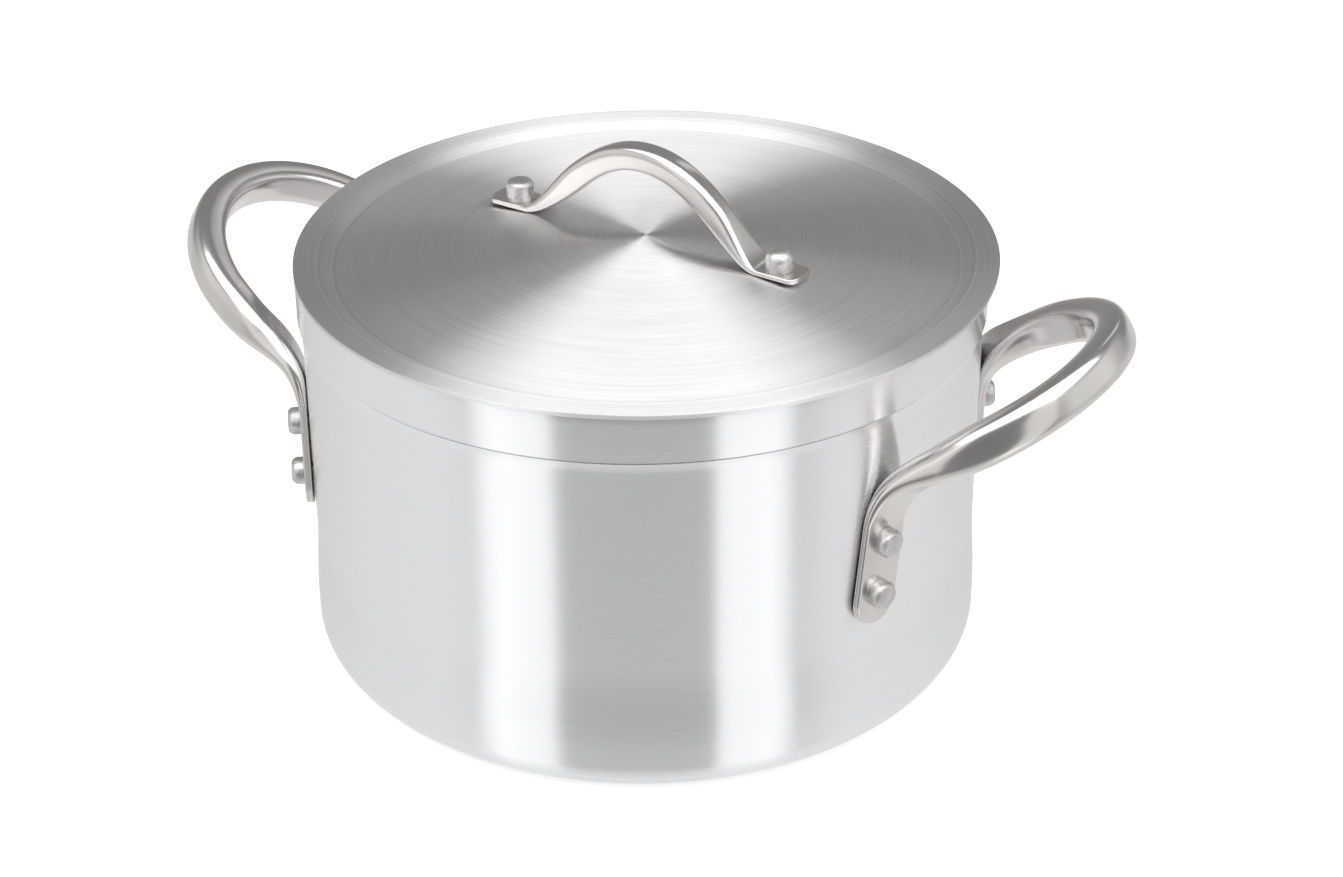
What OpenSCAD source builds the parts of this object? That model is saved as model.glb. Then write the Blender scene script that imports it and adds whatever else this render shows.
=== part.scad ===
// Round aluminium stock pot: spun body, lift-off spun lid and riveted steel tube handles.
// Millimetres. The origin is the centre of the base's underside, and +Z is up.
// The side handles stand on +X and -X. A right handle's front foot is the one on -Y.

/* [Pot] */
// Inside diameter of the pot
inner_d = 240; // [236:1:244]
// Height of the rim above the surface that the pot stands on
pot_h = 150; // [146:1:156]
// Thickness of the base
base_t = 5; // [4:0.5:7]
// Thickness of the wall where the handles are riveted on
wall_t = 2.5; // [2:0.1:3]
// Thickness of the wall just above the base
lower_wall_t = 4; // [3.2:0.1:4.5]
// Thickness of the strengthened band around the rim
band_t = 3.9; // [3.4:0.1:4.5]
// Height of that band
band_h = 18; // [14:1:22]
// Outer radius of the corner between base and wall
corner_r = 12; // [9:1:14]

/* [Lid] */
// Thickness of the lid's sheet
lid_t = 1.9; // [1.5:0.1:2.2]
// How far the lid's edge stands out over the rim band
lid_overhang = 1.7; // [0.8:0.1:2.5]
// Depth of the step that drops inside the rim
step_drop = 3; // [2:0.5:4]
// Rise of the shallow dome above the foot of the step
dome_rise = 7.2; // [5:0.1:9]
// Play between the step and the inside of the rim
step_play = 2.4; // [2:0.1:3]
// How far the lid lies off centre within that play, towards +X
lid_shift = 1.8; // [-1.8:0.1:1.8]

/* [Side handles] */
// Height of the handle tube's section on the bow
tube_h = 15.8; // [14:0.1:16.5]
// Thickness of the tube's section on the bow, squeezed a little by the bending
tube_t = 13.4; // [12:0.1:15]
// Width of the flattened feet
foot_w = 18.5; // [17:0.5:20]
// Radius of the bow, to the middle of the tube
bow_r = 50.3; // [48:0.1:53]
// Distance from the pot's axis to the centre of the bow
bow_x = 129; // [128:0.1:134]
// Height of the centre of the bow
bow_z = 116.6; // [114:0.1:120]
// Upward tilt of the bow in degrees
bow_tilt = 31.4; // [25:0.1:38]
// Angle between the handle's middle and each foot, around the pot
foot_angle = 27.2; // [26:0.1:29]
// Lean of each foot away from the handle's middle, in degrees
foot_splay = 7; // [0:0.5:9]
// Height of the foot's lower end
foot_low_z = 54.5; // [52:0.5:57]
// Height at which the foot starts to bend away from the wall
foot_top_z = 92; // [91.5:0.5:96]
// Height of the lower rivet in each foot
lower_rivet_z = 66.2; // [65:0.1:68]
// Height of the upper rivet in each foot
upper_rivet_z = 85.9; // [84:0.1:87]

/* [Lid handle] */
// Outside diameter of the lid handle's tube
lid_tube_d = 9.5; // [9:0.5:10.5]
// Width of its flattened tabs
tab_w = 13.8; // [13:0.1:15]
// Height of the middle of the tube at the top of the arch
arch_z = 185.8; // [178:0.1:192]
// Distance from the lid's axis to each lid rivet
lid_rivet_r = 55.4; // [54:0.1:57]
// Distance from the lid's axis to each end of the lid handle
lid_handle_half = 65.3; // [64.5:0.1:70]
// Turn of the lid from the line through the side handles, in degrees
lid_turn = -10.8; // [-90:0.1:90]

/* [Rivets] */
// Diameter of the rivet shanks
shank_d = 6; // [5:0.5:6.5]
// Diameter of the outer rivet heads
head_d = 10.3; // [9:0.1:11]
// Height of the outer heads on the side handles
side_head_h = 4.8; // [3:0.1:5]
// Height of the outer heads on the lid handle
lid_head_h = 7; // [5.5:0.1:8]

/* [Hidden] */

$fn = 128;

aluminium = [0.83, 0.83, 0.84];
steel = [0.72, 0.70, 0.67];
rivet_grey = [0.66, 0.66, 0.66];

// Clearances that keep separate pieces from sharing space
contact_gap = 0.05;
foot_gap = 0.3;
shank_play = 0.05;
inner_head_gap = 0.3;

// Pot body
inner_r = inner_d / 2;
wall_r = inner_r + wall_t;
lower_r = inner_r + lower_wall_t;
band_r = inner_r + band_t;
inner_corner_r = 10;
// The lower wall keeps its full thickness up to here, and has thinned by the taper's end
lower_wall_z = 18;
taper_end_z = 50;
band_z = pot_h - band_h;
band_blend_h = 4.5;
rim_round = 0.7;

// Lid
lid_r = band_r + lid_overhang;
lid_under_z = pot_h + contact_gap;
lid_top_z = lid_under_z + lid_t;
lid_edge_round = 0.5;
step_w = 5.8;
step_outer_r = inner_r - step_play;
step_inner_r = step_outer_r - step_w;
valley_z = lid_top_z - step_drop;
// Shape of the dome: 2 is a parabola, and more is flatter in the middle
dome_power = 2.5;

// Flattened tube ends: the walls lie on each other
tube_wall = 1.5;
foot_half_t = 1.5;
foot_end_l = 8.5;
foot_end_cut = 7.4;
lid_tube_wall = 0.95;
tab_half_t = 1;
tab_end_l = 3;
tab_end_cut = 4.5;
// How a pressed tube opens up again: below 1 it opens fast at first
opening_power = 0.6;
// Narrowest hollow that is left open inside a tube, as a half thickness
least_hollow = 0.35;

// Side handles: the foot's middle plane, and the pulls of the bend between foot and bow
foot_plane_r = wall_r + foot_gap + foot_half_t;
foot_mid_z = (lower_rivet_z + upper_rivet_z) / 2;
foot_pull = 10;
bow_pull = 17;
squeeze_l = 52;
// How far the swelling tube moves off the wall, as a share of its growth
bend_lift = 0.5;

// Lid handle: its level tabs touch the dome where they bend up
tab_bend_r = 48.2;
tab_pull = 9;
arch_pull = 25.9;
tab_squeeze_l = 28;

// Rivets
shank_r = shank_d / 2;
head_r = head_d / 2;
inner_head_r = 6;
inner_head_h = 2.4;
inner_head_flat_r = 2.5;
inner_head_edge = 0.8;
side_head_flat_r = 3.2;
side_head_edge = 1.4;
lid_head_flat_r = 2.4;
lid_head_edge = 4.2;
side_grip = foot_plane_r + foot_half_t - inner_r + inner_head_gap;
drill_l = 16;

// Steps of the curves
corner_steps = 8;
blend_steps = 6;
dome_steps = 14;
foot_end_steps = 5;
leg_steps = 12;
bow_steps = 10;
tab_end_steps = 3;
arch_steps = 20;
ring_sides = 16;
hollow_sides = 12;

// ---- Curves ----

function mix(a, b, t) = a + (b - a) * t;
function smooth(t) = let (k = min(1, max(0, t))) k * k * (3 - 2 * k);
function unit(v) = v / norm(v);
function reversed(list) = [for (i = [len(list) - 1:-1:0]) list[i]];
function bezier(p, t) = pow(1 - t, 3) * p[0] + 3 * t * pow(1 - t, 2) * p[1]
    + 3 * t * t * (1 - t) * p[2] + pow(t, 3) * p[3];

// Points of a quarter or less of an ellipse, from angle a0 to a1
function arc(centre, rx, ry, a0, a1, steps) =
    [for (i = [0:steps]) let (a = mix(a0, a1, i / steps)) centre + [rx * cos(a), ry * sin(a)]];

// Length of a path of points up to point i, and its direction there
function travel(path, i) = i <= 0 ? 0 : travel(path, i - 1) + norm(path[i] - path[i - 1]);
function heading(path, i) = unit(path[min(i + 1, len(path) - 1)] - path[max(i - 1, 0)]);

// ---- Swept tubes with flattened ends ----

// Half height and half width of a tube's section, a share t of the way from flat to round
function opened(flat, round_end, t) = mix(flat, round_end, pow(smooth(t), opening_power));
function narrowed(flat, round_end, t) = mix(flat, round_end, smooth(t));

// How much the rounded corners take off the half width at distance s from the end
function end_cut(s, length, depth) =
    s >= length ? 0 : depth * (1 - sqrt(1 - pow(1 - s / length, 2)));

// Ring of points around a path, with half extents half_w and half_h. Where it is wider than
// high it has flat faces and round edges, and elsewhere it is an ellipse.
function ring(at, along, normal, half_w, half_h, sides) =
    let (b = unit(normal - (normal * along) * along))
    let (w = cross(along, b))
    let (flat = max(0, half_w - half_h))
    let (grow = 1 / cos(180 / sides))
    [for (j = [0:sides - 1])
        let (a = 360 * (j + 0.5) / sides)
        at + w * (sign(cos(a)) * flat + grow * (half_w - flat) * cos(a))
           + b * (grow * half_h * sin(a))];

// Closed solid through rings that all have the same number of points
module sweep(rings) {
    n = len(rings);
    m = len(rings[0]);
    points = [for (r = rings, p = r) p];
    walls = [for (i = [0:n - 2], j = [0:m - 1], upper = [0, 1])
        let (k = (j + 1) % m)
        upper == 0 ? [i * m + j, (i + 1) * m + k, (i + 1) * m + j]
                   : [i * m + j, i * m + k, (i + 1) * m + k]];
    caps = [[for (j = [m - 1:-1:0]) j], [for (j = [0:m - 1]) (n - 1) * m + j]];
    polyhedron(points, concat(walls, caps), convexity = 10);
}

// ---- Pot body ----

pot_outline = concat(
    [[0, 0]],
    arc([lower_r - corner_r, corner_r], corner_r, corner_r, -90, 0, corner_steps),
    [[lower_r, lower_wall_z], [wall_r, taper_end_z]],
    [for (i = [0:blend_steps])
        [mix(wall_r, band_r, smooth(i / blend_steps)),
         band_z - band_blend_h + band_blend_h * i / blend_steps]],
    arc([band_r - rim_round, pot_h - rim_round], rim_round, rim_round, 0, 90, 3),
    arc([inner_r + rim_round, pot_h - rim_round], rim_round, rim_round, 90, 180, 3),
    arc([inner_r - inner_corner_r, base_t + inner_corner_r],
        inner_corner_r, inner_corner_r, 0, -90, corner_steps),
    [[0, base_t]]);

// Places children on the axis of a rivet through the wall: z = 0 is the wall's outside,
// and +Z points outwards. side is -1 at the front foot and 1 at the back foot.
module at_wall_rivet(side, z) {
    rotate([0, 0, side * foot_angle])
        translate([wall_r, side * (foot_mid_z - z) * tan(foot_splay), z])
        rotate([0, 90, 0])
        children();
}

module rivet_drill() {
    cylinder(r = shank_r + shank_play, h = drill_l, center = true);
}

module handle_foot_holes() {
    for (side = [-1, 1], z = [lower_rivet_z, upper_rivet_z])
        at_wall_rivet(side, z) rivet_drill();
}

module pot_body() {
    color(aluminium)
    difference() {
        rotate_extrude() polygon(pot_outline);
        for (turn = [0, 180]) rotate([0, 0, turn]) handle_foot_holes();
    }
}

// ---- Lid ----

function dome_z(r) = valley_z + dome_rise * (1 - pow(r / step_inner_r, dome_power));

// Upper face of the lid's sheet, from the axis out to the flange
lid_face = concat(
    [for (i = [0:dome_steps]) let (r = step_inner_r * i / dome_steps) [r, dome_z(r)]],
    [for (i = [1:blend_steps])
        [step_inner_r + step_w * i / blend_steps, valley_z + step_drop * smooth(i / blend_steps)]]);

lid_outline = concat(
    lid_face,
    arc([lid_r - lid_edge_round, lid_top_z - lid_edge_round], lid_edge_round, lid_edge_round, 90, 0, 3),
    arc([lid_r - lid_edge_round, lid_under_z + lid_edge_round], lid_edge_round, lid_edge_round, 0, -90, 3),
    [for (p = reversed(lid_face)) [p[0], p[1] - lid_t]]);

// Height of the middle of the lid handle's level tabs
tab_z = dome_z(tab_bend_r) + contact_gap + tab_half_t;

// Places children at the middle of each lid handle tab, on the axis of its rivet
module at_lid_rivets() {
    for (turn = [0, 180])
        rotate([0, 0, turn])
        translate([lid_rivet_r, 0, tab_z])
        children();
}

// Puts the lid and all that is riveted to it where it lies on the pot
module on_pot() {
    translate([lid_shift, 0, 0]) rotate([0, 0, lid_turn]) children();
}

module lid() {
    color(aluminium)
    on_pot()
    difference() {
        rotate_extrude() polygon(lid_outline);
        at_lid_rivets() rivet_drill();
    }
}

// ---- Side handles ----

foot_out = [cos(foot_angle), -sin(foot_angle), 0];
foot_side = [-sin(foot_angle), -cos(foot_angle), 0];
bow_out = [cos(bow_tilt), 0, sin(bow_tilt)];
bow_under = [sin(bow_tilt), 0, -cos(bow_tilt)];

function foot_at(z) =
    foot_out * foot_plane_r + foot_side * (foot_mid_z - z) * tan(foot_splay) + [0, 0, z];
function bow_at(a) = [bow_x, 0, bow_z] + bow_r * (cos(a) * bow_out + [0, sin(a), 0]);

foot_up = unit(foot_at(1) - foot_at(0));
leg_curve = [foot_at(foot_top_z), foot_at(foot_top_z) + foot_up * foot_pull,
             bow_at(-90) - bow_out * bow_pull, bow_at(-90)];

// Front half of the tube's middle line, from the foot's lower end to the bow's outermost point
side_path = concat(
    [for (i = [0:foot_end_steps])
        foot_at(foot_low_z + foot_end_l * (1 - cos(90 * i / foot_end_steps)))],
    [for (i = [0:leg_steps]) bezier(leg_curve, i / leg_steps)],
    [for (i = [1:bow_steps]) bow_at(-90 + 90 * i / bow_steps)]);

// The tube is flat up to the foot's top, and opens over squeeze_l from there
foot_l = (foot_top_z - foot_low_z) / foot_up[2];
function side_share(i) = (travel(side_path, i) - foot_l) / squeeze_l;
function side_half_h(i) = opened(foot_half_t, tube_h / 2, side_share(i));
function side_lift(i) =
    bend_lift * (side_half_h(i) - foot_half_t) * (1 - smooth(side_share(i)));

function side_ring(i, inset, sides) =
    let (cut = end_cut(travel(side_path, i), foot_end_l, foot_end_cut))
    ring(side_path[i] + side_lift(i) * foot_out, heading(side_path, i),
         mix(foot_out, bow_under, smooth(side_share(i))),
         narrowed(foot_w / 2, tube_t / 2, side_share(i)) - cut - inset,
         side_half_h(i) - inset, sides);

// Adds the other half of a list of rings, mirrored across the given plane normal
function both_halves(rings, flip) = concat(
    rings,
    [for (i = [len(rings) - 2:-1:0]) [for (p = rings[i]) [p[0] * flip[0], p[1] * flip[1], p[2]]]]);

side_rings = [for (i = [0:len(side_path) - 1]) side_ring(i, 0, ring_sides)];
side_hollow = [for (i = [0:len(side_path) - 1])
    if (side_half_h(i) > tube_wall + least_hollow)
        side_ring(i, tube_wall, hollow_sides)];

module side_handle() {
    color(steel)
    difference() {
        sweep(both_halves(side_rings, [1, -1]));
        sweep(both_halves(side_hollow, [1, -1]));
        handle_foot_holes();
    }
}

module right_handle() {
    side_handle();
}

module left_handle() {
    rotate([0, 0, 180]) side_handle();
}

// ---- Lid handle ----

arch_curve = [[-tab_bend_r, 0, tab_z], [tab_pull - tab_bend_r, 0, tab_z],
              [-arch_pull, 0, arch_z], [0, 0, arch_z]];

// Half of the tube's middle line, from one end to the top of the arch
lid_path = concat(
    [for (i = [0:tab_end_steps])
        [tab_end_l * (1 - cos(90 * i / tab_end_steps)) - lid_handle_half, 0, tab_z]],
    [for (i = [0:arch_steps]) bezier(arch_curve, i / arch_steps)]);

// This tube is flat up to where its tab bends up
tab_l = lid_handle_half - tab_bend_r;
function lid_share(i) = (travel(lid_path, i) - tab_l) / tab_squeeze_l;
function lid_half_h(i) = opened(tab_half_t, lid_tube_d / 2, lid_share(i));

function lid_ring(i, inset, sides) =
    let (cut = end_cut(travel(lid_path, i), tab_end_l, tab_end_cut))
    let (along = heading(lid_path, i))
    ring(lid_path[i], along, cross([0, -1, 0], along),
         narrowed(tab_w / 2, lid_tube_d / 2, lid_share(i)) - cut - inset,
         lid_half_h(i) - inset, sides);

lid_rings = [for (i = [0:len(lid_path) - 1]) lid_ring(i, 0, ring_sides)];
lid_hollow = [for (i = [0:len(lid_path) - 1])
    if (lid_half_h(i) > lid_tube_wall + least_hollow)
        lid_ring(i, lid_tube_wall, hollow_sides)];

module lid_handle() {
    color(steel)
    on_pot()
    difference() {
        sweep(both_halves(lid_rings, [-1, 1]));
        sweep(both_halves(lid_hollow, [-1, 1]));
        at_lid_rivets() rivet_drill();
    }
}

// ---- Rivets ----

// z = 0 is the underside of the outer head, and the inner head starts at -grip
module rivet(grip, height, flat_r, edge) {
    color(rivet_grey)
    rotate_extrude()
    polygon(concat(
        [[0, height]],
        arc([flat_r, edge], head_r - flat_r, height - edge, 90, 0, 5),
        [[head_r, 0], [shank_r, 0], [shank_r, -grip], [inner_head_r, -grip]],
        arc([inner_head_flat_r, -grip - inner_head_edge], inner_head_r - inner_head_flat_r,
            inner_head_h - inner_head_edge, 0, -90, 4),
        [[0, -grip - inner_head_h]]));
}

module side_rivets(side) {
    for (z = [lower_rivet_z, upper_rivet_z])
        at_wall_rivet(side, z)
        translate([0, 0, foot_gap + 2 * foot_half_t])
        rivet(side_grip, side_head_h, side_head_flat_r, side_head_edge);
}

module right_handle_front_rivets() {
    side_rivets(-1);
}

module right_handle_back_rivets() {
    side_rivets(1);
}

module left_handle_front_rivets() {
    rotate([0, 0, 180]) side_rivets(1);
}

module left_handle_back_rivets() {
    rotate([0, 0, 180]) side_rivets(-1);
}

module lid_handle_rivets() {
    under_z = dome_z(lid_rivet_r + inner_head_r) - lid_t - contact_gap;
    on_pot()
    at_lid_rivets()
    translate([0, 0, tab_half_t])
    rivet(tab_z + tab_half_t - under_z, lid_head_h, lid_head_flat_r, lid_head_edge);
}

pot_body();
lid();
right_handle();
left_handle();
lid_handle();
right_handle_front_rivets();
right_handle_back_rivets();
left_handle_front_rivets();
left_handle_back_rivets();
lid_handle_rivets();
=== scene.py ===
"""The stock pot's looks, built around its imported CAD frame.

Every CAD node is replaced by a finer mesh of the same shape and place, made here from the same
driving sizes: spun aluminium for the pot and lid, pressed steel tube for the handles, and
hammered rivets. Sizes and shape functions are in millimetres, and MM turns them into metres.
"""

import math

import bpy
import numpy as np
from mathutils import Matrix, Vector, noise


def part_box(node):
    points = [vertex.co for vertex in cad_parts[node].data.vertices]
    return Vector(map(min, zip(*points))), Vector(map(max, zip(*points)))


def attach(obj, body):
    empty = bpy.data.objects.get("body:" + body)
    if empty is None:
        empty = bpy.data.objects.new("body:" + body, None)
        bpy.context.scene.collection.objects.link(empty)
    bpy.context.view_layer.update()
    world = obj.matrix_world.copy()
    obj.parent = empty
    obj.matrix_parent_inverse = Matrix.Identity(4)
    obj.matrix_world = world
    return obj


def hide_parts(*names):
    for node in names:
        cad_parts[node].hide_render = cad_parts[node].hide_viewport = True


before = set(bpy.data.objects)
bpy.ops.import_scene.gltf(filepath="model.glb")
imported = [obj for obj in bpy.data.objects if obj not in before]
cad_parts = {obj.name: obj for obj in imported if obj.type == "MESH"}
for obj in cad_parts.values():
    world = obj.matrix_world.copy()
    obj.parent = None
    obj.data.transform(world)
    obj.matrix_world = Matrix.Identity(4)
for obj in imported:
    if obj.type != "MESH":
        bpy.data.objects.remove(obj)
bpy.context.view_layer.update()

MM = 0.001
UP = np.array([0.0, 0.0, 1.0])


# ---- Sizes that the CAD has too ----
# A foot is a flattened end of a side handle, a bow is its round part, and a tab is a flattened
# end of the lid handle. Feet are given for the right handle's front one, on -Y.

def top_corner(node):
    """Highest corner of a CAD node's box in millimetres, without the last digits' noise."""
    return [round(value / MM, 2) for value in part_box(node)[1]]


LOWER_R, _, POT_H = top_corner("pot_body")
BASE_T = 5.0
WALL_T = 2.5
LOWER_WALL_T = 4.0
BAND_T = 3.9
BAND_H = 18.0
INNER_R = LOWER_R - LOWER_WALL_T
WALL_R = INNER_R + WALL_T
BAND_R = INNER_R + BAND_T
BAND_Z = POT_H - BAND_H
CORNER_R = 12.0
INNER_CORNER_R = 10.0
LOWER_WALL_Z = 18.0
TAPER_END_Z = 50.0
RIM_ROUND = 0.7

# Taken off where a piece reaches the CAD's box, which the finer mesh would pass by a hair
BOX_TRIM = 0.01

CONTACT_GAP = 0.05
LID_T = 1.9
LID_OVERHANG = 1.7
LID_R = BAND_R + LID_OVERHANG - BOX_TRIM
LID_TOP_Z = POT_H + CONTACT_GAP + LID_T
STEP_DROP = 3.0
STEP_PLAY = 2.4
STEP_W = 5.8
STEP_OUTER_R = INNER_R - STEP_PLAY
STEP_INNER_R = STEP_OUTER_R - STEP_W
VALLEY_Z = LID_TOP_Z - STEP_DROP
DOME_RISE = 7.2
DOME_POWER = 2.5
LID_SHIFT = 1.8
LID_TURN = math.radians(-10.8)

FOOT_W = 18.5
FOOT_GAP = 0.3
FOOT_HALF_T = 1.5
FOOT_END_L = 8.5
FOOT_END_CUT = 7.4
FOOT_ANGLE = math.radians(27.2)
FOOT_SPLAY = math.tan(math.radians(7))
FOOT_LOW_Z = 54.5
FOOT_TOP_Z = 92.0
RIVET_ZS = (66.2, 85.9)
FOOT_MID_Z = sum(RIVET_ZS) / 2
FOOT_PLANE_R = WALL_R + FOOT_GAP + FOOT_HALF_T
FOOT_PULL = 10.0
BOW_PULL = 17.0
BOW_X = 129.0
BOW_Z = 116.6
BOW_TILT = math.radians(31.4)
SQUEEZE_L = 52.0
BEND_LIFT = 0.5
OPENING_POWER = 0.6

LID_TUBE_D = 9.5
TAB_W = 13.8
TAB_HALF_T = 1.0
TAB_END_L = 3.0
TAB_END_CUT = 4.5
TAB_REST_R = 48.2
ARCH_PULL = 25.9
ARCH_Z = 185.8 - BOX_TRIM
TAB_SQUEEZE_L = 28.0
LID_HANDLE_HALF = 65.3
LID_RIVET_R = 55.4

SHANK_R = 3.0
HEAD_R = 5.15
SIDE_HEAD_H = 4.8
LID_HEAD_H = 7.0
INNER_HEAD_R = 6.0
INNER_HEAD_H = 2.4
INNER_HEAD_FLAT_R = 2.5
INNER_HEAD_EDGE_H = 0.8
INNER_HEAD_GAP = 0.3
SIDE_GRIP = FOOT_PLANE_R + FOOT_HALF_T - INNER_R + INNER_HEAD_GAP


# ---- Sizes of shapes that are finer than the CAD's ----
# A boxy tube's corners stand proud of a round one, so the side tubes are a little thinner than
# the CAD's, and their bow a little smaller. A tube's power would be 1 for a round section.

FLARE_H = 3.5
FLARE_POWER = 1.5
BAND_STEP = 0.9
CREVICE_W = 1.0
CREVICE_DEPTH = 2.2

LID_EDGE_ROUND = 0.25
LID_LOWER_ROUND = 0.6
STEP_FILLET = 0.2

TUBE_H = 15.1
TUBE_T = 12.8
BOW_R = 49.8
SIDE_TUBE_POWER = 0.66
SEAM_DEPTH = 0.6
SEAM_HALF_W = 0.45
SEAM_END = 0.35
RIPPLE_L = 15.0
RIPPLE_H = 0.13
RIPPLE_BASE = 0.6
RIPPLE_FROM_X = 128.0
RIPPLE_FADE = 24.0
RIPPLE_WANDER = 1.5
RIPPLE_WANDER_SCALE = 0.05

LID_TUBE_POWER = 0.6
TAB_BEND_R = 50.0
TAB_PULL = 12.0
TAB_SEAM_SHARE = 0.3
TAB_SEAM_END = 0.25

# Outer heads: (radius of the flat top, height of the straight side), and on the lid the side
# of the axis first, because its two heads are hammered unlike
SIDE_HEAD = (3.3, 2.2)
LID_HEADS = ((-1, 3.0, 4.9), (1, 1.2, 3.2))
HEAD_FOOT_CUT = 0.15
HEAD_FOOT_H = 0.2

# Dents: noise scales are per metre, and DENT_DEPTH and DENT_MIDDLE are shares of the distance
# to the head's middle and of its height
LID_RIVET_SEED = 30
DENT_SCALE = 420
FINE_DENT_SCALE = 900
FINE_DENT_SHARE = 0.5
DENT_LEVEL = 0.5
DENT_DEPTH = 0.022
DENT_FROM_Z = 0.1
DENT_MIDDLE = 0.3


# ---- Steps along the outlines and paths, and points round the sections ----

TURNS = 360
ROUND_STEPS = 5
FLARE_STEPS = 12
TAPER_STEPS = 16
DOME_STEPS = 60
STEP_STEPS = 24
FLANGE_STEPS = 6
SIDE_SIDES = 64
FOOT_STEPS = 14
BEND_STEPS = 60
BOW_STEPS = 50
LID_TUBE_SIDES = 48
TAB_END_STEPS = 10
TAB_STEPS = 8
ARCH_STEPS = 80
RIVET_TURNS = 64


# ---- Small curve helpers ----

def mix(a, b, t):
    return a + (b - a) * t


def smooth(t):
    k = min(1.0, max(0.0, t))
    return k * k * (3 - 2 * k)


def bezier(p, t):
    q = 1 - t
    return q**3 * p[0] + 3 * t * q * q * p[1] + 3 * t * t * q * p[2] + t**3 * p[3]


def arc(centre, rx, ry, start, end, steps):
    """Points of a part of an ellipse in the (radius, height) plane, angles in degrees."""
    angles = np.radians(np.linspace(start, end, steps + 1))
    return [(centre[0] + rx * math.cos(a), centre[1] + ry * math.sin(a)) for a in angles]


def line(start, end, steps):
    """Points of a straight stretch, without its start."""
    return [tuple(mix(s, e, i / steps) for s, e in zip(start, end)) for i in range(1, steps + 1)]


def unit(v):
    return v / np.linalg.norm(v)


# ---- Meshes ----

def add_object(name, points, faces, body, sharp_angle):
    """A smooth-shaded mesh in metres, riding on a CAD body. Edges over sharp_angle, in degrees,
    stay crisp."""
    mesh = bpy.data.meshes.new(name)
    mesh.from_pydata([tuple(p) for p in points], [], faces)
    mesh.validate()
    mesh.shade_smooth()
    mesh.set_sharp_from_angle(angle=math.radians(sharp_angle))
    obj = bpy.data.objects.new(name, mesh)
    bpy.context.scene.collection.objects.link(obj)
    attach(obj, body)
    return obj


def lathe(outline, turns):
    """Points and faces of a closed outline of (radius, height) turned about Z. The outline
    starts and ends on the axis, with the solid on its left."""
    angles = np.arange(turns) * 2 * math.pi / turns
    ring = np.stack([np.cos(angles), np.sin(angles)], 1)
    points = [(0.0, 0.0, outline[0][1] * MM)]
    for r, z in outline[1:-1]:
        points += [(x * r * MM, y * r * MM, z * MM) for x, y in ring]
    points.append((0.0, 0.0, outline[-1][1] * MM))
    last = len(points) - 1
    rows = len(outline) - 2
    faces = [(0, 1 + (j + 1) % turns, 1 + j) for j in range(turns)]
    for i in range(rows - 1):
        low, high = 1 + i * turns, 1 + (i + 1) * turns
        faces += [(low + j, low + (j + 1) % turns, high + (j + 1) % turns, high + j)
                  for j in range(turns)]
    top = 1 + (rows - 1) * turns
    faces += [(last, top + j, top + (j + 1) % turns) for j in range(turns)]
    return points, faces


def sweep(rings):
    """Points and faces of a closed tube through rings of the same number of points."""
    count = len(rings[0])
    points = [p * MM for ring in rings for p in ring]
    faces = []
    for i in range(len(rings) - 1):
        low, high = i * count, (i + 1) * count
        faces += [(low + j, high + j, high + (j + 1) % count, low + (j + 1) % count)
                  for j in range(count)]
    faces.append(tuple(range(count)))
    top = (len(rings) - 1) * count
    faces.append(tuple(top + j for j in reversed(range(count))))
    return points, faces


# ---- Pot ----

def taper():
    """Lower part of the wall, which thins from LOWER_R to WALL_R."""
    return [(mix(LOWER_R, WALL_R, smooth(i / TAPER_STEPS)),
             mix(LOWER_WALL_Z, TAPER_END_Z, i / TAPER_STEPS)) for i in range(1, TAPER_STEPS + 1)]


def flare():
    """Foot of the rim band: the wall curves out to a small step below it."""
    return [(mix(WALL_R, BAND_R - BAND_STEP, (i / FLARE_STEPS) ** FLARE_POWER),
             BAND_Z - FLARE_H * (1 - i / FLARE_STEPS)) for i in range(FLARE_STEPS + 1)]


def crevice():
    """Narrow groove between the flare and the rim band, and the band's lower edge."""
    r = BAND_R - CREVICE_DEPTH
    return [(r, BAND_Z + CREVICE_W / 3), (r, BAND_Z + 2 * CREVICE_W / 3),
            (BAND_R, BAND_Z + CREVICE_W)]


def pot_outline():
    """From under the base, up the outside, over the rim and down to the inside of the base."""
    corner = (LOWER_R - CORNER_R, CORNER_R)
    inner_corner = (INNER_R - INNER_CORNER_R, BASE_T + INNER_CORNER_R)
    rim_z = POT_H - RIM_ROUND
    band_foot = flare()
    groove = crevice()
    outside = (
        [(0.0, 0.0)]
        + line((0.0, 0.0), (corner[0], 0.0), steps=10)
        + arc(corner, CORNER_R, CORNER_R, -90, 0, steps=24)[1:]
        + line((LOWER_R, CORNER_R), (LOWER_R, LOWER_WALL_Z), steps=2)
        + taper()
        + line((WALL_R, TAPER_END_Z), band_foot[0], steps=20)
        + band_foot[1:]
        + groove
        + line(groove[-1], (BAND_R, rim_z), steps=6))
    rim = (
        arc((BAND_R - RIM_ROUND, rim_z), RIM_ROUND, RIM_ROUND, 0, 90, ROUND_STEPS)[1:]
        + arc((INNER_R + RIM_ROUND, rim_z), RIM_ROUND, RIM_ROUND, 90, 180, ROUND_STEPS))
    inside = (
        line((INNER_R, rim_z), (INNER_R, inner_corner[1]), steps=24)
        + arc(inner_corner, INNER_CORNER_R, INNER_CORNER_R, 0, -90, steps=16)[1:]
        + line((inner_corner[0], BASE_T), (0.0, BASE_T), steps=12))
    return outside + rim + inside


def make_pot():
    points, faces = lathe(pot_outline(), TURNS)
    pot = add_object("spun_pot", points, faces, "pot", sharp_angle=30)
    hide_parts("pot_body")
    return pot


# ---- Lid ----

def dome_z(r):
    """Height of the dome's upper face."""
    return VALLEY_Z + DOME_RISE * (1 - (abs(r) / STEP_INNER_R) ** DOME_POWER)


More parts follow.
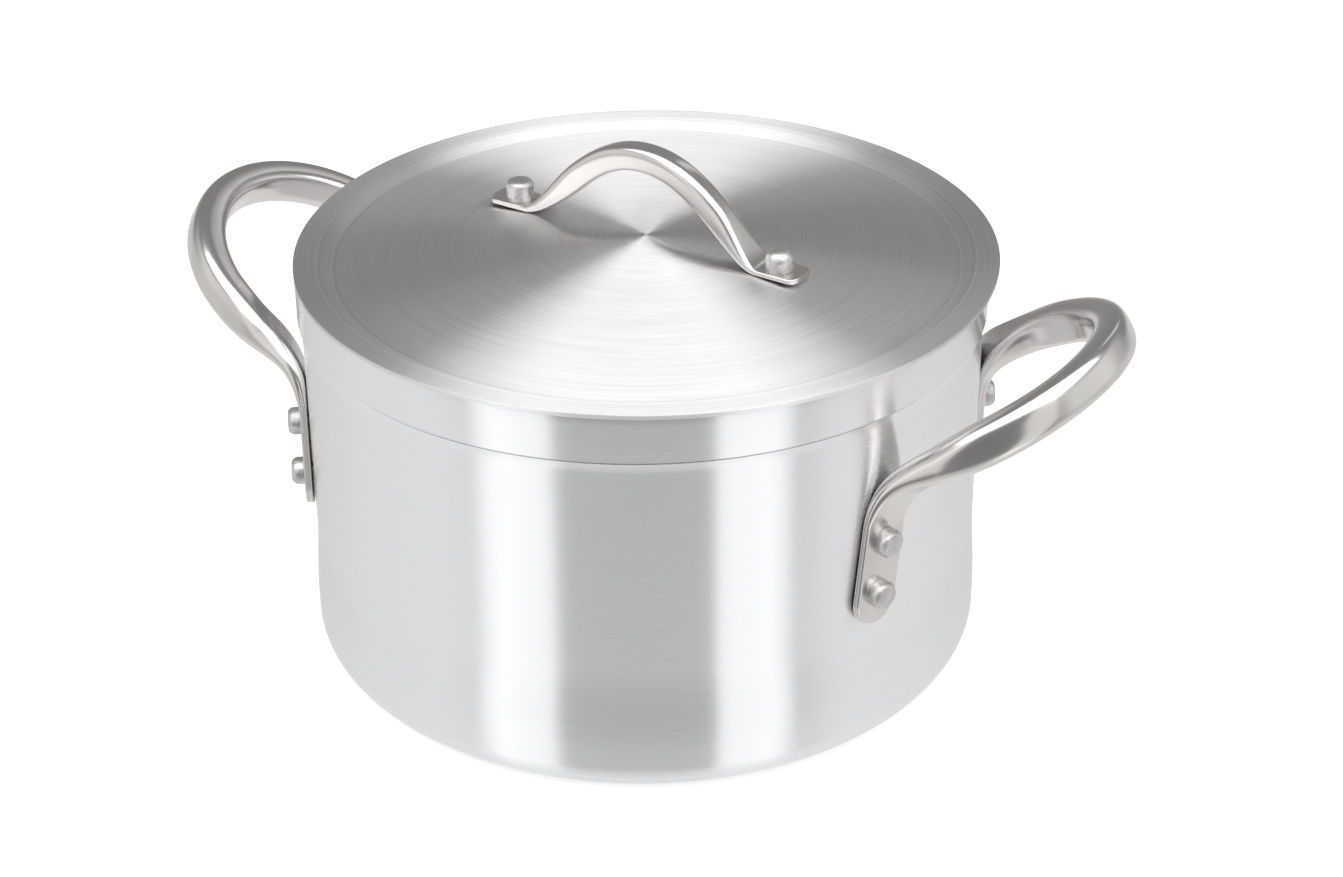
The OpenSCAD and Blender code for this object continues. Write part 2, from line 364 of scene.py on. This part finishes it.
def step_rise(t):
    """Share of the step's height at a share t of its width: straight, with a tight fillet at
    the foot and the top."""
    if t < STEP_FILLET:
        return t * t / (2 * STEP_FILLET * (1 - STEP_FILLET))
    if t > 1 - STEP_FILLET:
        return 1 - step_rise(1 - t)
    return (t - STEP_FILLET / 2) / (1 - STEP_FILLET)


def lid_face():
    """The lid's upper face from its axis to the flange: the dome, then the locating step."""
    dome = [(STEP_INNER_R * i / DOME_STEPS, dome_z(STEP_INNER_R * i / DOME_STEPS))
            for i in range(DOME_STEPS + 1)]
    step = [(mix(STEP_INNER_R, STEP_OUTER_R, i / STEP_STEPS),
             VALLEY_Z + STEP_DROP * step_rise(i / STEP_STEPS)) for i in range(1, STEP_STEPS + 1)]
    return dome + step


def lid_outline():
    """From under the dome, out round the edge and back over the upper face."""
    face = lid_face()
    under = [(r, z - LID_T) for r, z in face]
    low_z = LID_TOP_Z - LID_T
    low_edge = LID_R - LID_LOWER_ROUND
    edge = LID_R - LID_EDGE_ROUND
    under_flange = line((STEP_OUTER_R, low_z), (low_edge, low_z), FLANGE_STEPS)
    lower = arc((low_edge, low_z + LID_LOWER_ROUND), LID_LOWER_ROUND, LID_LOWER_ROUND, -90, 0,
                ROUND_STEPS)
    upper = arc((edge, LID_TOP_Z - LID_EDGE_ROUND), LID_EDGE_ROUND, LID_EDGE_ROUND, 0, 90,
                ROUND_STEPS)
    flange = line((STEP_OUTER_R, LID_TOP_Z), (edge, LID_TOP_Z), FLANGE_STEPS)
    return under + under_flange + lower[1:] + upper + flange[::-1][1:] + face[::-1]


def add_on_lid(name, points, faces, sharp_angle):
    """A piece made about the lid's own axis, turned and shifted to where the lid lies."""
    turn = Matrix.Rotation(LID_TURN, 3, "Z")
    obj = add_object(name, [turn @ Vector(p) for p in points], faces, "lid", sharp_angle)
    obj.matrix_world = Matrix.Translation((LID_SHIFT * MM, 0, 0))
    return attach(obj, "lid")


def make_lid():
    points, faces = lathe(lid_outline(), TURNS)
    lid = add_on_lid("spun_lid", points, faces, sharp_angle=30)
    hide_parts("lid")
    return lid


# ---- Pressed tubes ----

FOOT_OUT = np.array([math.cos(FOOT_ANGLE), -math.sin(FOOT_ANGLE), 0.0])
FOOT_SIDE = np.array([-math.sin(FOOT_ANGLE), -math.cos(FOOT_ANGLE), 0.0])
BOW_MIDDLE = np.array([BOW_X, 0.0, BOW_Z])
BOW_OUT = np.array([math.cos(BOW_TILT), 0.0, math.sin(BOW_TILT)])
BOW_UNDER = np.array([math.sin(BOW_TILT), 0.0, -math.cos(BOW_TILT)])


def foot_at(z):
    """Point at height z on the middle line of the foot."""
    return FOOT_OUT * FOOT_PLANE_R + FOOT_SIDE * (FOOT_MID_Z - z) * FOOT_SPLAY + UP * z


def bow_at(angle):
    """Point on the middle line of the bow, with angle 0 at its outermost point."""
    turn = math.cos(angle) * BOW_OUT + np.array([0.0, math.sin(angle), 0.0])
    return BOW_MIDDLE + BOW_R * turn


def travel_of(path):
    """Distance along a path to each of its points."""
    steps = np.linalg.norm(np.diff(path, axis=0), axis=1)
    return np.concatenate([[0.0], np.cumsum(steps)])


def heading_of(path):
    """Direction of a path at each of its points."""
    ahead = np.vstack([path[1:], path[-1:]])
    behind = np.vstack([path[:1], path[:-1]])
    way = ahead - behind
    return way / np.linalg.norm(way, axis=1)[:, None]


def end_steps(length, steps):
    """Distances from a rounded end, closer together where it curves most."""
    return [length * (1 - math.cos(math.pi / 2 * i / steps)) for i in range(steps + 1)]


def end_cut(s, length, depth):
    """How much narrower each side is at a distance s from a rounded end."""
    return 0.0 if s >= length else depth * (1 - math.sqrt(1 - (1 - s / length) ** 2))


def bulged(v, power):
    """A sine or cosine pushed outwards, so that a round section turns a little boxy."""
    return np.sign(v) * np.abs(v) ** power


def section(at, along, normal, half_w, half_h, sides, seam, power):
    """Ring of points round a path. It has flat faces and round edges where it is wider than
    high, and a seam of that depth runs along both edges, where the pressed walls meet. The
    power is 1 for a round section and less for a boxy one."""
    b = unit(normal - (normal @ along) * along)
    w = np.cross(along, b)
    flat = max(0.0, half_w - half_h)
    a = 2 * math.pi * (np.arange(sides) + 0.5) / sides
    wide, high = bulged(np.cos(a), power), bulged(np.sin(a), power)
    dip = seam * np.exp(-((np.abs(high) * half_h / SEAM_HALF_W) ** 2))
    across = np.sign(wide) * flat + (half_w - flat) * wide * (1 - dip / (half_w - flat))
    return at + np.outer(across, w) + np.outer(half_h * high, b)


def mirrored(rings, flip):
    """The rings with their other half, mirrored by the signs in flip. The middle ring is
    shared."""
    return rings + [ring * np.array(flip) for ring in reversed(rings[:-1])]


def side_half_path():
    """Front half of the side handle's middle line, the distance along it, and the share of the
    way to a full tube."""
    foot_up = unit(foot_at(1) - foot_at(0))
    top = foot_at(FOOT_TOP_Z)
    bow_start = bow_at(-math.pi / 2)
    leg = [top, top + foot_up * FOOT_PULL, bow_start - BOW_OUT * BOW_PULL, bow_start]
    end = [foot_at(FOOT_LOW_Z + s) for s in end_steps(FOOT_END_L, FOOT_STEPS)]
    foot = [foot_at(mix(FOOT_LOW_Z + FOOT_END_L, FOOT_TOP_Z, i / FOOT_STEPS))
            for i in range(1, FOOT_STEPS)]
    bend = [bezier(leg, i / BEND_STEPS) for i in range(BEND_STEPS + 1)]
    bow = [bow_at(-math.pi / 2 * (1 - i / BOW_STEPS)) for i in range(1, BOW_STEPS + 1)]
    path = np.array(end + foot + bend + bow)
    travel = travel_of(path)
    share = (travel - travel[len(end) + len(foot)]) / SQUEEZE_L
    return path, travel, share


def side_rings():
    """Sections of the side handle's front half, from the foot's end to the bow's middle."""
    path, travel, share = side_half_path()
    heading = heading_of(path)
    rings = []
    for i, at in enumerate(path):
        t = smooth(share[i])
        half_h = mix(FOOT_HALF_T, TUBE_H / 2, t**OPENING_POWER)
        half_w = mix(FOOT_W / 2, TUBE_T / 2, t) - end_cut(travel[i], FOOT_END_L, FOOT_END_CUT)
        lift = BEND_LIFT * (half_h - FOOT_HALF_T) * (1 - t)
        normal = mix(FOOT_OUT, BOW_UNDER, t)
        seam = SEAM_DEPTH * (1 - smooth(share[i] / SEAM_END))
        power = mix(1.0, SIDE_TUBE_POWER, t)
        rings.append(section(at + FOOT_OUT * lift, heading[i], normal, half_w, half_h,
                             SIDE_SIDES, seam, power))
    return rings


def rippled(rings):
    """Ripples that bending has pressed into the inner side of the bow."""
    made, travel, last = [], 0.0, None
    for ring in rings:
        centre = ring.mean(0)
        travel += 0.0 if last is None else np.linalg.norm(centre - last)
        last = centre
        inward = unit(BOW_MIDDLE - centre)
        away = ring - centre
        facing = np.clip((away @ inward) / np.linalg.norm(away, axis=1), 0, 1) ** 2
        on_bow = smooth((centre[0] - RIPPLE_FROM_X) / RIPPLE_FADE)
        wander = noise.noise(Vector(centre) * RIPPLE_WANDER_SCALE)
        wave = math.sin(2 * math.pi * (travel / RIPPLE_L + RIPPLE_WANDER * wander))
        height = RIPPLE_H * wave * (RIPPLE_BASE + wander)
        made.append(ring - np.outer(facing * on_bow * height, inward))
    return made


def make_side_handle(name, node, turn):
    points, faces = sweep(rippled(mirrored(side_rings(), flip=(1, -1, 1))))
    spin = Matrix.Rotation(turn, 3, "Z")
    handle = add_object(name, [spin @ Vector(p) for p in points], faces, "pot", sharp_angle=50)
    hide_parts(node)
    return handle


def tab_z():
    """Height of a tab's middle plane. The tab rests on the dome at TAB_REST_R."""
    return dome_z(TAB_REST_R) + CONTACT_GAP + TAB_HALF_T


def lid_handle_half_path():
    """Half of the lid handle's middle line, the distance along it, and the share of the way to
    a full tube."""
    z = tab_z()
    arch = [np.array(p) for p in ((-TAB_BEND_R, 0.0, z), (TAB_PULL - TAB_BEND_R, 0.0, z),
                                  (-ARCH_PULL, 0.0, ARCH_Z), (0.0, 0.0, ARCH_Z))]
    end = [np.array([s - LID_HANDLE_HALF, 0.0, z]) for s in end_steps(TAB_END_L, TAB_END_STEPS)]
    tab = [np.array([mix(TAB_END_L - LID_HANDLE_HALF, -TAB_BEND_R, i / TAB_STEPS), 0.0, z])
           for i in range(1, TAB_STEPS)]
    rise = [bezier(arch, i / ARCH_STEPS) for i in range(ARCH_STEPS + 1)]
    path = np.array(end + tab + rise)
    travel = travel_of(path)
    share = (travel - travel[len(end) + len(tab)]) / TAB_SQUEEZE_L
    return path, travel, share


def lid_handle_rings():
    """Sections of half of the lid handle, from the tab's end to the top of the arch."""
    path, travel, share = lid_handle_half_path()
    heading = heading_of(path)
    rings = []
    for i, at in enumerate(path):
        t = smooth(share[i])
        half_h = mix(TAB_HALF_T, LID_TUBE_D / 2, t**OPENING_POWER)
        half_w = mix(TAB_W / 2, LID_TUBE_D / 2, t) - end_cut(travel[i], TAB_END_L, TAB_END_CUT)
        normal = np.cross(np.array([0.0, -1.0, 0.0]), heading[i])
        seam = TAB_SEAM_SHARE * SEAM_DEPTH * (1 - smooth(share[i] / TAB_SEAM_END))
        power = mix(1.0, LID_TUBE_POWER, t)
        rings.append(section(at, heading[i], normal, half_w, half_h, LID_TUBE_SIDES, seam, power))
    return rings


def make_lid_handle():
    points, faces = sweep(mirrored(lid_handle_rings(), flip=(-1, 1, 1)))
    handle = add_on_lid("pressed_lid_handle", points, faces, sharp_angle=50)
    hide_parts("lid_handle")
    return handle


# ---- Rivets ----

def rivet_outline(grip, height, flat_r, edge):
    """Low inner head, shank and tall outer head. The outer head's underside is at height 0, its
    side is straight up to edge, and its top is flat within flat_r."""
    inner_z = -grip - INNER_HEAD_H
    inner_centre = (INNER_HEAD_FLAT_R, -grip - INNER_HEAD_EDGE_H)
    inner_head = (
        [(0.0, inner_z)]
        + line((0.0, inner_z), (INNER_HEAD_FLAT_R, inner_z), steps=2)
        + arc(inner_centre, INNER_HEAD_R - INNER_HEAD_FLAT_R, INNER_HEAD_H - INNER_HEAD_EDGE_H,
              -90, 0, steps=10)[1:]
        + [(INNER_HEAD_R, -grip)])
    outer_head = (
        [(HEAD_R - HEAD_FOOT_CUT, 0.0), (HEAD_R, HEAD_FOOT_H)]
        + line((HEAD_R, HEAD_FOOT_H), (HEAD_R, edge), steps=6)
        + arc((flat_r, edge), HEAD_R - flat_r, height - edge, 0, 90, steps=14)[1:]
        + line((flat_r, height), (0.0, height), steps=6))
    return inner_head + [(SHANK_R, -grip), (SHANK_R, 0.0)] + outer_head


def dented(point, seed, middle_z):
    """Small hammer dents on the outer head: a point above its underside moves inward."""
    if point.z <= DENT_FROM_Z * MM:
        return point
    coarse = noise.noise(point * DENT_SCALE + Vector((seed, 0, 0)))
    depth = coarse + FINE_DENT_SHARE * noise.noise(point * FINE_DENT_SCALE)
    middle = Vector((0, 0, middle_z * MM))
    return middle + (point - middle) * (1 - DENT_DEPTH * max(0.0, depth + DENT_LEVEL))


def rivet(grip, height, flat_r, edge, place, seed):
    points, faces = lathe(rivet_outline(grip, height, flat_r, edge), RIVET_TURNS)
    points = [place @ dented(Vector(p), seed, height * DENT_MIDDLE) for p in points]
    return points, faces


def joined(parts):
    """Several (points, faces) as one."""
    points, faces = [], []
    for more_points, more_faces in parts:
        start = len(points)
        points += more_points
        faces += [tuple(start + i for i in face) for face in more_faces]
    return points, faces


def wall_rivet_place(turn, side, z):
    """Where a side rivet's outer head sits: its own z = 0 is the foot's outer face."""
    out = Matrix.Rotation(math.pi / 2, 4, "Y")
    outer_face = WALL_R + FOOT_GAP + 2 * FOOT_HALF_T
    at = Vector((outer_face, side * (FOOT_MID_Z - z) * FOOT_SPLAY, z)) * MM
    return Matrix.Rotation(turn + side * FOOT_ANGLE, 4, "Z") @ Matrix.Translation(at) @ out


def make_side_rivets(node, turn, side, seed):
    """Both rivets of a foot. Side is -1 for the foot at lower y on the right handle, and 1 for
    the other; turn takes it to the left handle."""
    parts = [rivet(SIDE_GRIP, SIDE_HEAD_H, *SIDE_HEAD, wall_rivet_place(turn, side, z), seed + i)
             for i, z in enumerate(RIVET_ZS)]
    points, faces = joined(parts)
    rivets = add_object(node + "_hammered", points, faces, "pot", sharp_angle=45)
    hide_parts(node)
    return rivets


def make_lid_rivets():
    z = tab_z() + TAB_HALF_T
    grip = z - (dome_z(LID_RIVET_R + INNER_HEAD_R) - LID_T - CONTACT_GAP)
    parts = []
    for side, flat_r, edge in LID_HEADS:
        place = Matrix.Translation(Vector((side * LID_RIVET_R, 0, z)) * MM)
        parts.append(rivet(grip, LID_HEAD_H, flat_r, edge, place, LID_RIVET_SEED + side))
    points, faces = joined(parts)
    rivets = add_on_lid("lid_handle_rivets_hammered", points, faces, sharp_angle=45)
    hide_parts("lid_handle_rivets")
    return rivets


# ---- Node trees ----

class Tree:
    """A node tree, with short calls to add and link nodes."""

    def __init__(self, tree):
        self.tree = tree

    def add(self, kind, **settings):
        node = self.tree.nodes.new(kind)
        for key, value in settings.items():
            setattr(node, key, value)
        return node

    def link(self, source, target):
        self.tree.links.new(source, target)

    def feed(self, socket, value):
        """Links value to socket if it is an output, and else sets it."""
        if isinstance(value, bpy.types.NodeSocket):
            self.link(value, socket)
        else:
            socket.default_value = value

    def math(self, operation, a, b=0.0, c=0.0):
        node = self.add("ShaderNodeMath", operation=operation)
        for socket, value in zip(node.inputs, (a, b, c)):
            self.feed(socket, value)
        return node.outputs[0]

    def weighted(self, a, weight_a, b, weight_b):
        return self.math("ADD", self.math("MULTIPLY", a, weight_a),
                         self.math("MULTIPLY", b, weight_b))

    def separate(self, vector):
        node = self.add("ShaderNodeSeparateXYZ")
        self.link(vector, node.inputs[0])
        return node.outputs

    def combine(self, x, y, z):
        node = self.add("ShaderNodeCombineXYZ")
        for socket, value in zip(node.inputs, (x, y, z)):
            self.feed(socket, value)
        return node.outputs[0]

    def noise(self, vector, scale, detail=2.0, roughness=0.5):
        node = self.add("ShaderNodeTexNoise")
        self.link(vector, node.inputs["Vector"])
        node.inputs["Scale"].default_value = scale
        node.inputs["Detail"].default_value = detail
        node.inputs["Roughness"].default_value = roughness
        return node.outputs["Fac"]

    def greys(self, value, stops):
        """A soft grey ramp through (place, grey) stops."""
        node = self.add("ShaderNodeValToRGB")
        node.color_ramp.interpolation = "EASE"
        elements = node.color_ramp.elements
        while len(elements) < len(stops):
            elements.new(0.5)
        for element, (place, grey) in zip(elements, stops):
            element.position = place
            element.color = (grey, grey, grey, 1)
        self.link(value, node.inputs["Fac"])
        return node.outputs["Color"]

    def blend(self, factor, first, second):
        """The first colour where factor is 0, and the second where it is 1."""
        node = self.add("ShaderNodeMix", data_type="RGBA")
        self.link(factor, node.inputs["Factor"])
        self.feed(node.inputs["A"], first)
        self.feed(node.inputs["B"], second)
        return node.outputs["Result"]


class Material(Tree):
    """A new material's node tree, with its shader."""

    def __init__(self, name):
        self.material = bpy.data.materials.new(name)
        self.material.use_nodes = True
        super().__init__(self.material.node_tree)
        self.tree.nodes.clear()
        self.shader = self.add("ShaderNodeBsdfPrincipled")
        output = self.add("ShaderNodeOutputMaterial")
        self.link(self.shader.outputs["BSDF"], output.inputs["Surface"])
        self.position = self.add("ShaderNodeTexCoord").outputs["Object"]

    def shade(self, values):
        """Sets the shader's sockets, or links them where a value is another node's output."""
        for name, value in values.items():
            self.feed(self.shader.inputs[name], value)

    def spread(self, value, low, high):
        """Maps a noise value, mostly 0.3 to 0.7, onto low to high."""
        node = self.add("ShaderNodeMapRange")
        for key, number in (("From Min", 0.3), ("From Max", 0.7), ("To Min", low),
                            ("To Max", high)):
            node.inputs[key].default_value = number
        self.feed(node.inputs["Value"], value)
        return node.outputs["Result"]

    def tint(self, value, dark, light):
        """Maps a value from 0 to 1 onto a colour between dark and light."""
        ramp = self.add("ShaderNodeValToRGB")
        ramp.color_ramp.elements[0].color = (*dark, 1)
        ramp.color_ramp.elements[1].color = (*light, 1)
        self.link(value, ramp.inputs["Fac"])
        return ramp.outputs["Color"]

    def bump(self, height, strength, distance):
        node = self.add("ShaderNodeBump")
        node.inputs["Strength"].default_value = strength
        node.inputs["Distance"].default_value = distance
        self.link(height, node.inputs["Height"])
        self.link(node.outputs["Normal"], self.shader.inputs["Normal"])


# ---- Materials ----

# Lines of painted highlight and painted shade on the lid's step. The base colour is lighter at each
# fillet and darker just beside it. This stands in for the glints the fillets catch and the dark
# they mirror. Each is (radius in mm, change of tone).
PAINTED_LINE_HALF_W = 0.5
LID_STEP_PAINTED_HIGHLIGHT_AND_SHADE_LINES = ((STEP_OUTER_R, 0.9), (STEP_OUTER_R - 1.2, -1.0), (STEP_INNER_R + 0.6, 0.8),
             (STEP_INNER_R - 0.6, -0.8))


def spun_aluminium(name, density, dark, light, roughness, wear, groove_bump, arc_bump, rings=()):
    """Aluminium turned on a lathe: fine grooves run round the axis, and reflections stretch
    across them. The grooves are noise that is dense across them and slow along them. Rings are
    (radius in mm, change of tone) of single lines painted into the base colour: painted
    highlights where lighter, and painted shade where darker."""
    n = Material(name)
    x, y, z = n.separate(n.position)
    distance = n.math("SQRT", n.math("ADD", n.math("MULTIPLY", x, x), n.math("MULTIPLY", y, y)))
    radius = n.math("MAXIMUM", distance, 1e-4)
    across = n.math("ADD", radius, z)
    east, north = n.math("DIVIDE", x, radius), n.math("DIVIDE", y, radius)

    def grooves(density, slowness, detail):
        return n.noise(n.combine(n.math("MULTIPLY", across, density),
                                 n.math("MULTIPLY", east, slowness),
                                 n.math("MULTIPLY", north, slowness)), scale=1.0, detail=detail)

    lines = grooves(density, slowness=1.3, detail=3.0)
    broad = grooves(density * 0.25, slowness=1.6, detail=2.0)
    clouds = n.noise(n.position, scale=14.0, detail=3.0)
    worn = n.weighted(lines, 0.8, broad, 0.2)
    tone = n.spread(n.weighted(worn, 0.85, clouds, 0.15), 0.0, 1.0)
    # Painted highlight and painted shade: each line lightens or darkens the base colour's tone in a
    # thin ring.
    for painted_line_r, painted_tone_change in rings:
        off = n.math("ABSOLUTE", n.math("SUBTRACT", radius, painted_line_r * MM))
        near = n.math("SUBTRACT", 1.0, n.math("MULTIPLY", off, 1 / (PAINTED_LINE_HALF_W * MM)))
        tone = n.math("ADD", tone, n.math("MULTIPLY", n.math("MAXIMUM", near, 0.0), painted_tone_change))
    tangent = n.add("ShaderNodeTangent", direction_type="RADIAL", axis="Z")
    n.shade({"Base Color": n.tint(tone, dark, light),
             "Roughness": n.spread(worn, roughness - wear, roughness + wear),
             "Metallic": 1.0,
             "Anisotropic": 1.0,
             "Anisotropic Rotation": 0.25,
             "Tangent": tangent.outputs[0]})
    n.bump(n.weighted(lines, groove_bump, broad, arc_bump), strength=1.0, distance=0.0001)
    return n.material


def satin_steel(name):
    """Polished stainless tube with a faint satin grain and a few soft stains."""
    n = Material(name)
    grain = n.noise(n.position, scale=2600.0, roughness=0.7)
    clouds = n.noise(n.position, scale=45.0, detail=3.0)
    blend = n.weighted(grain, 0.25, clouds, 0.75)
    tone = n.spread(blend, 0.0, 1.0)
    n.shade({"Base Color": n.tint(tone, dark=(0.62, 0.601, 0.585), light=(0.71, 0.69, 0.672)),
             "Roughness": n.spread(blend, 0.23, 0.17),
             "Metallic": 1.0})
    n.bump(grain, strength=0.05, distance=0.00003)
    return n.material


def hammered_aluminium(name):
    """Rivet heads: soft aluminium, matt and pitted by the hammer."""
    n = Material(name)
    pits = n.noise(n.position, scale=900.0, detail=4.0, roughness=0.6)
    dents = n.noise(n.position, scale=260.0)
    blend = n.weighted(pits, 0.5, dents, 0.5)
    tone = n.spread(blend, 0.0, 1.0)
    n.shade({"Base Color": n.tint(tone, dark=(0.44, 0.435, 0.43), light=(0.74, 0.735, 0.73)),
             "Roughness": n.spread(blend, 0.5, 0.36),
             "Metallic": 1.0})
    n.bump(blend, strength=0.8, distance=0.0003)
    return n.material


def paint(obj, material):
    obj.data.materials.clear()
    obj.data.materials.append(material)


# ---- Studio, in metres ----

CAMERA_AT = Vector((0.3435, -0.7990, 0.5642))
CAMERA_LOOK = Vector((-0.33445, 0.80353, -0.49243))
CAMERA_ROLL = math.radians(-0.39)
CAMERA_AZIMUTH = math.atan2(CAMERA_AT.x, -CAMERA_AT.y)
CAMERA_LENS = 72
SENSOR_W = 36

STRIP_DISTANCE = 2.2
STRIP_MID_Z = -0.35
STRIP_H = 3.7
LEAST_TILT = 0.5

FLOOR_HALF = 6.0
FLOOR_DROP = 0.0003
FLOOR_GLOW = 0.35

# Greys of the room, as (place, grey) stops along its depth, which is 0 towards the front
# camera and 1 away from it, and shares as stops along its height, 0 straight down and 1 up
WALL_GREYS = ((0.0, 0.25), (0.12, 0.3), (0.25, 0.85), (0.55, 0.95), (0.72, 0.6), (0.84, 0.3))
FAR_FLOOR_GREYS = ((0.0, 0.26), (0.1, 0.29), (0.35, 0.76), (1.0, 0.78))
NEAR_FLOOR_GREY = (0.95, 0.95, 0.95, 1.0)
NEAR_FLOOR_SHARES = ((0.0, 1.0), (0.05, 0.75), (0.12, 0.6), (0.225, 0.6), (0.255, 0.0))
CEILING_GREY = (0.3, 0.3, 0.3, 1.0)
CEILING_SHARES = ((0.68, 0.0), (0.82, 1.0))
ABOVE_FLOOR_SHARES = ((0.42, 0.0), (0.5, 1.0))


def make_camera():
    data = bpy.data.cameras.new("camera")
    data.lens = CAMERA_LENS
    data.sensor_width = SENSOR_W
    camera = bpy.data.objects.new("camera", data)
    bpy.context.scene.collection.objects.link(camera)
    turn = CAMERA_LOOK.to_track_quat("-Z", "Y").to_matrix() @ Matrix.Rotation(CAMERA_ROLL, 3, "Z")
    camera.matrix_world = Matrix.Translation(CAMERA_AT) @ turn.to_4x4()
    bpy.context.scene.camera = camera


def studio(x, y, z):
    """A point seen from the pot: x to the front camera's right, y away from it."""
    turn = Matrix.Rotation(CAMERA_AZIMUTH, 3, "Z")
    return turn @ Vector((x, y, z))


def area_light(name, at, aim, width, height, radiance):
    """A soft box at a studio point, turned to face another one, with its width level."""
    data = bpy.data.lights.new(name, "AREA")
    data.shape = "RECTANGLE"
    data.size, data.size_y = width, height
    data.energy = radiance * math.pi * width * height
    light = bpy.data.objects.new(name, data)
    bpy.context.scene.collection.objects.link(light)
    back = (studio(*at) - studio(*aim)).normalized()
    side = Vector(UP).cross(back)
    if side.length < LEAST_TILT:  # it looks straight down, so it takes the camera's sideways
        side = studio(1, 0, 0)
    side.normalize()
    turn = Matrix((side, back.cross(side), back)).transposed()
    light.matrix_world = Matrix.Translation(studio(*at)) @ turn.to_4x4()
    light.visible_camera = False


def strip_light(name, azimuth, half_angle, radiance):
    """A tall upright box beside the camera, with its angles in degrees. It reaches below the
    floor, which lets it through, so that the pot's wall mirrors it down to the base."""
    a = math.radians(azimuth)
    at = (STRIP_DISTANCE * math.sin(a), -STRIP_DISTANCE * math.cos(a), STRIP_MID_Z)
    width = 2 * STRIP_DISTANCE * math.tan(math.radians(half_angle))
    area_light(name, at, (0, 0, STRIP_MID_Z), width, STRIP_H, radiance)


def make_lights():
    area_light("overhead", at=(0.1, -0.85, 1.6), aim=(0.1, -0.85, 0), width=3.9, height=2.3,
               radiance=2.05)
    area_light("back_light", at=(1.0, 1.5, 1.3), aim=(0, 0, 0.1), width=0.35, height=1.0,
               radiance=0.55)
    strip_light("left_strip", azimuth=-41.2, half_angle=12.3, radiance=0.62)
    strip_light("right_strip", azimuth=34.3, half_angle=12, radiance=0.65)


def make_world():
    """A pale studio: darker behind the pot and behind the camera, lighter at the sides."""
    world = bpy.data.worlds.new("studio")
    world.use_nodes = True
    bpy.context.scene.world = world
    n = Tree(world.node_tree)
    turned = n.add("ShaderNodeMapping")
    turned.inputs["Rotation"].default_value[2] = -CAMERA_AZIMUTH
    n.link(n.add("ShaderNodeTexCoord").outputs["Generated"], turned.inputs["Vector"])
    _, away, up = n.separate(turned.outputs[0])
    depth = n.math("MULTIPLY_ADD", away, 0.5, 0.5)
    height = n.math("MULTIPLY_ADD", up, 0.5, 0.5)
    floor = n.blend(n.greys(height, NEAR_FLOOR_SHARES), n.greys(depth, FAR_FLOOR_GREYS),
                    NEAR_FLOOR_GREY)
    room = n.blend(n.greys(height, CEILING_SHARES), n.greys(depth, WALL_GREYS), CEILING_GREY)
    background = n.tree.nodes["Background"]
    n.link(n.blend(n.greys(height, ABOVE_FLOOR_SHARES), floor, room), background.inputs["Color"])
    background.inputs["Strength"].default_value = 1.0


def make_floor():
    """A pale glowing floor just under the base. The pot doesn't mirror it, and it lets the
    strips' light through, but it takes the pot's own soft shade."""
    n = Material("pale_floor")
    speckle = n.spread(n.noise(n.position, scale=6.0), 0.0, 1.0)
    n.shade({"Base Color": n.tint(speckle, dark=(0.94, 0.94, 0.94), light=(0.96, 0.96, 0.96)),
             "Roughness": 0.9,
             "Specular IOR Level": 0.0,
             "Emission Color": (1, 1, 1, 1),
             "Emission Strength": FLOOR_GLOW})
    mesh = bpy.data.meshes.new("floor")
    corners = [(x * FLOOR_HALF, y * FLOOR_HALF, 0) for x, y in ((-1, -1), (1, -1), (1, 1), (-1, 1))]
    mesh.from_pydata(corners, [], [(0, 1, 2, 3)])
    floor = bpy.data.objects.new("floor", mesh)
    floor.location.z = -FLOOR_DROP
    bpy.context.scene.collection.objects.link(floor)
    floor.visible_glossy = False
    floor.visible_shadow = False
    paint(floor, n.material)


# ---- The scene ----

make_camera()
make_lights()
make_world()
make_floor()
bpy.context.scene.view_settings.view_transform = "Standard"

pot_metal = spun_aluminium("pot_aluminium_spun", density=1600, dark=(0.879, 0.88, 0.891),
                           light=(0.899, 0.9, 0.911), roughness=0.26, wear=0.022,
                           groove_bump=0.02, arc_bump=0.0)
# The lid's base colour carries the painted highlight and painted shade lines of its step.
lid_metal = spun_aluminium("lid_aluminium_spun", density=2200, dark=(0.80, 0.798, 0.806),
                           light=(0.96, 0.958, 0.965), roughness=0.44, wear=0.02,
                           groove_bump=0.3, arc_bump=0.1, rings=LID_STEP_PAINTED_HIGHLIGHT_AND_SHADE_LINES)
steel = satin_steel("handle_steel_satin")
rivet_metal = hammered_aluminium("rivet_aluminium_hammered")

paint(make_pot(), pot_metal)
paint(make_lid(), lid_metal)
paint(make_side_handle("pressed_right_handle", "right_handle", turn=0.0), steel)
paint(make_side_handle("pressed_left_handle", "left_handle", turn=math.pi), steel)
paint(make_lid_handle(), steel)
paint(make_side_rivets("right_handle_front_rivets", turn=0.0, side=-1, seed=1), rivet_metal)
paint(make_side_rivets("right_handle_back_rivets", turn=0.0, side=1, seed=3), rivet_metal)
paint(make_side_rivets("left_handle_front_rivets", turn=math.pi, side=1, seed=5), rivet_metal)
paint(make_side_rivets("left_handle_back_rivets", turn=math.pi, side=-1, seed=7), rivet_metal)
paint(make_lid_rivets(), rivet_metal)
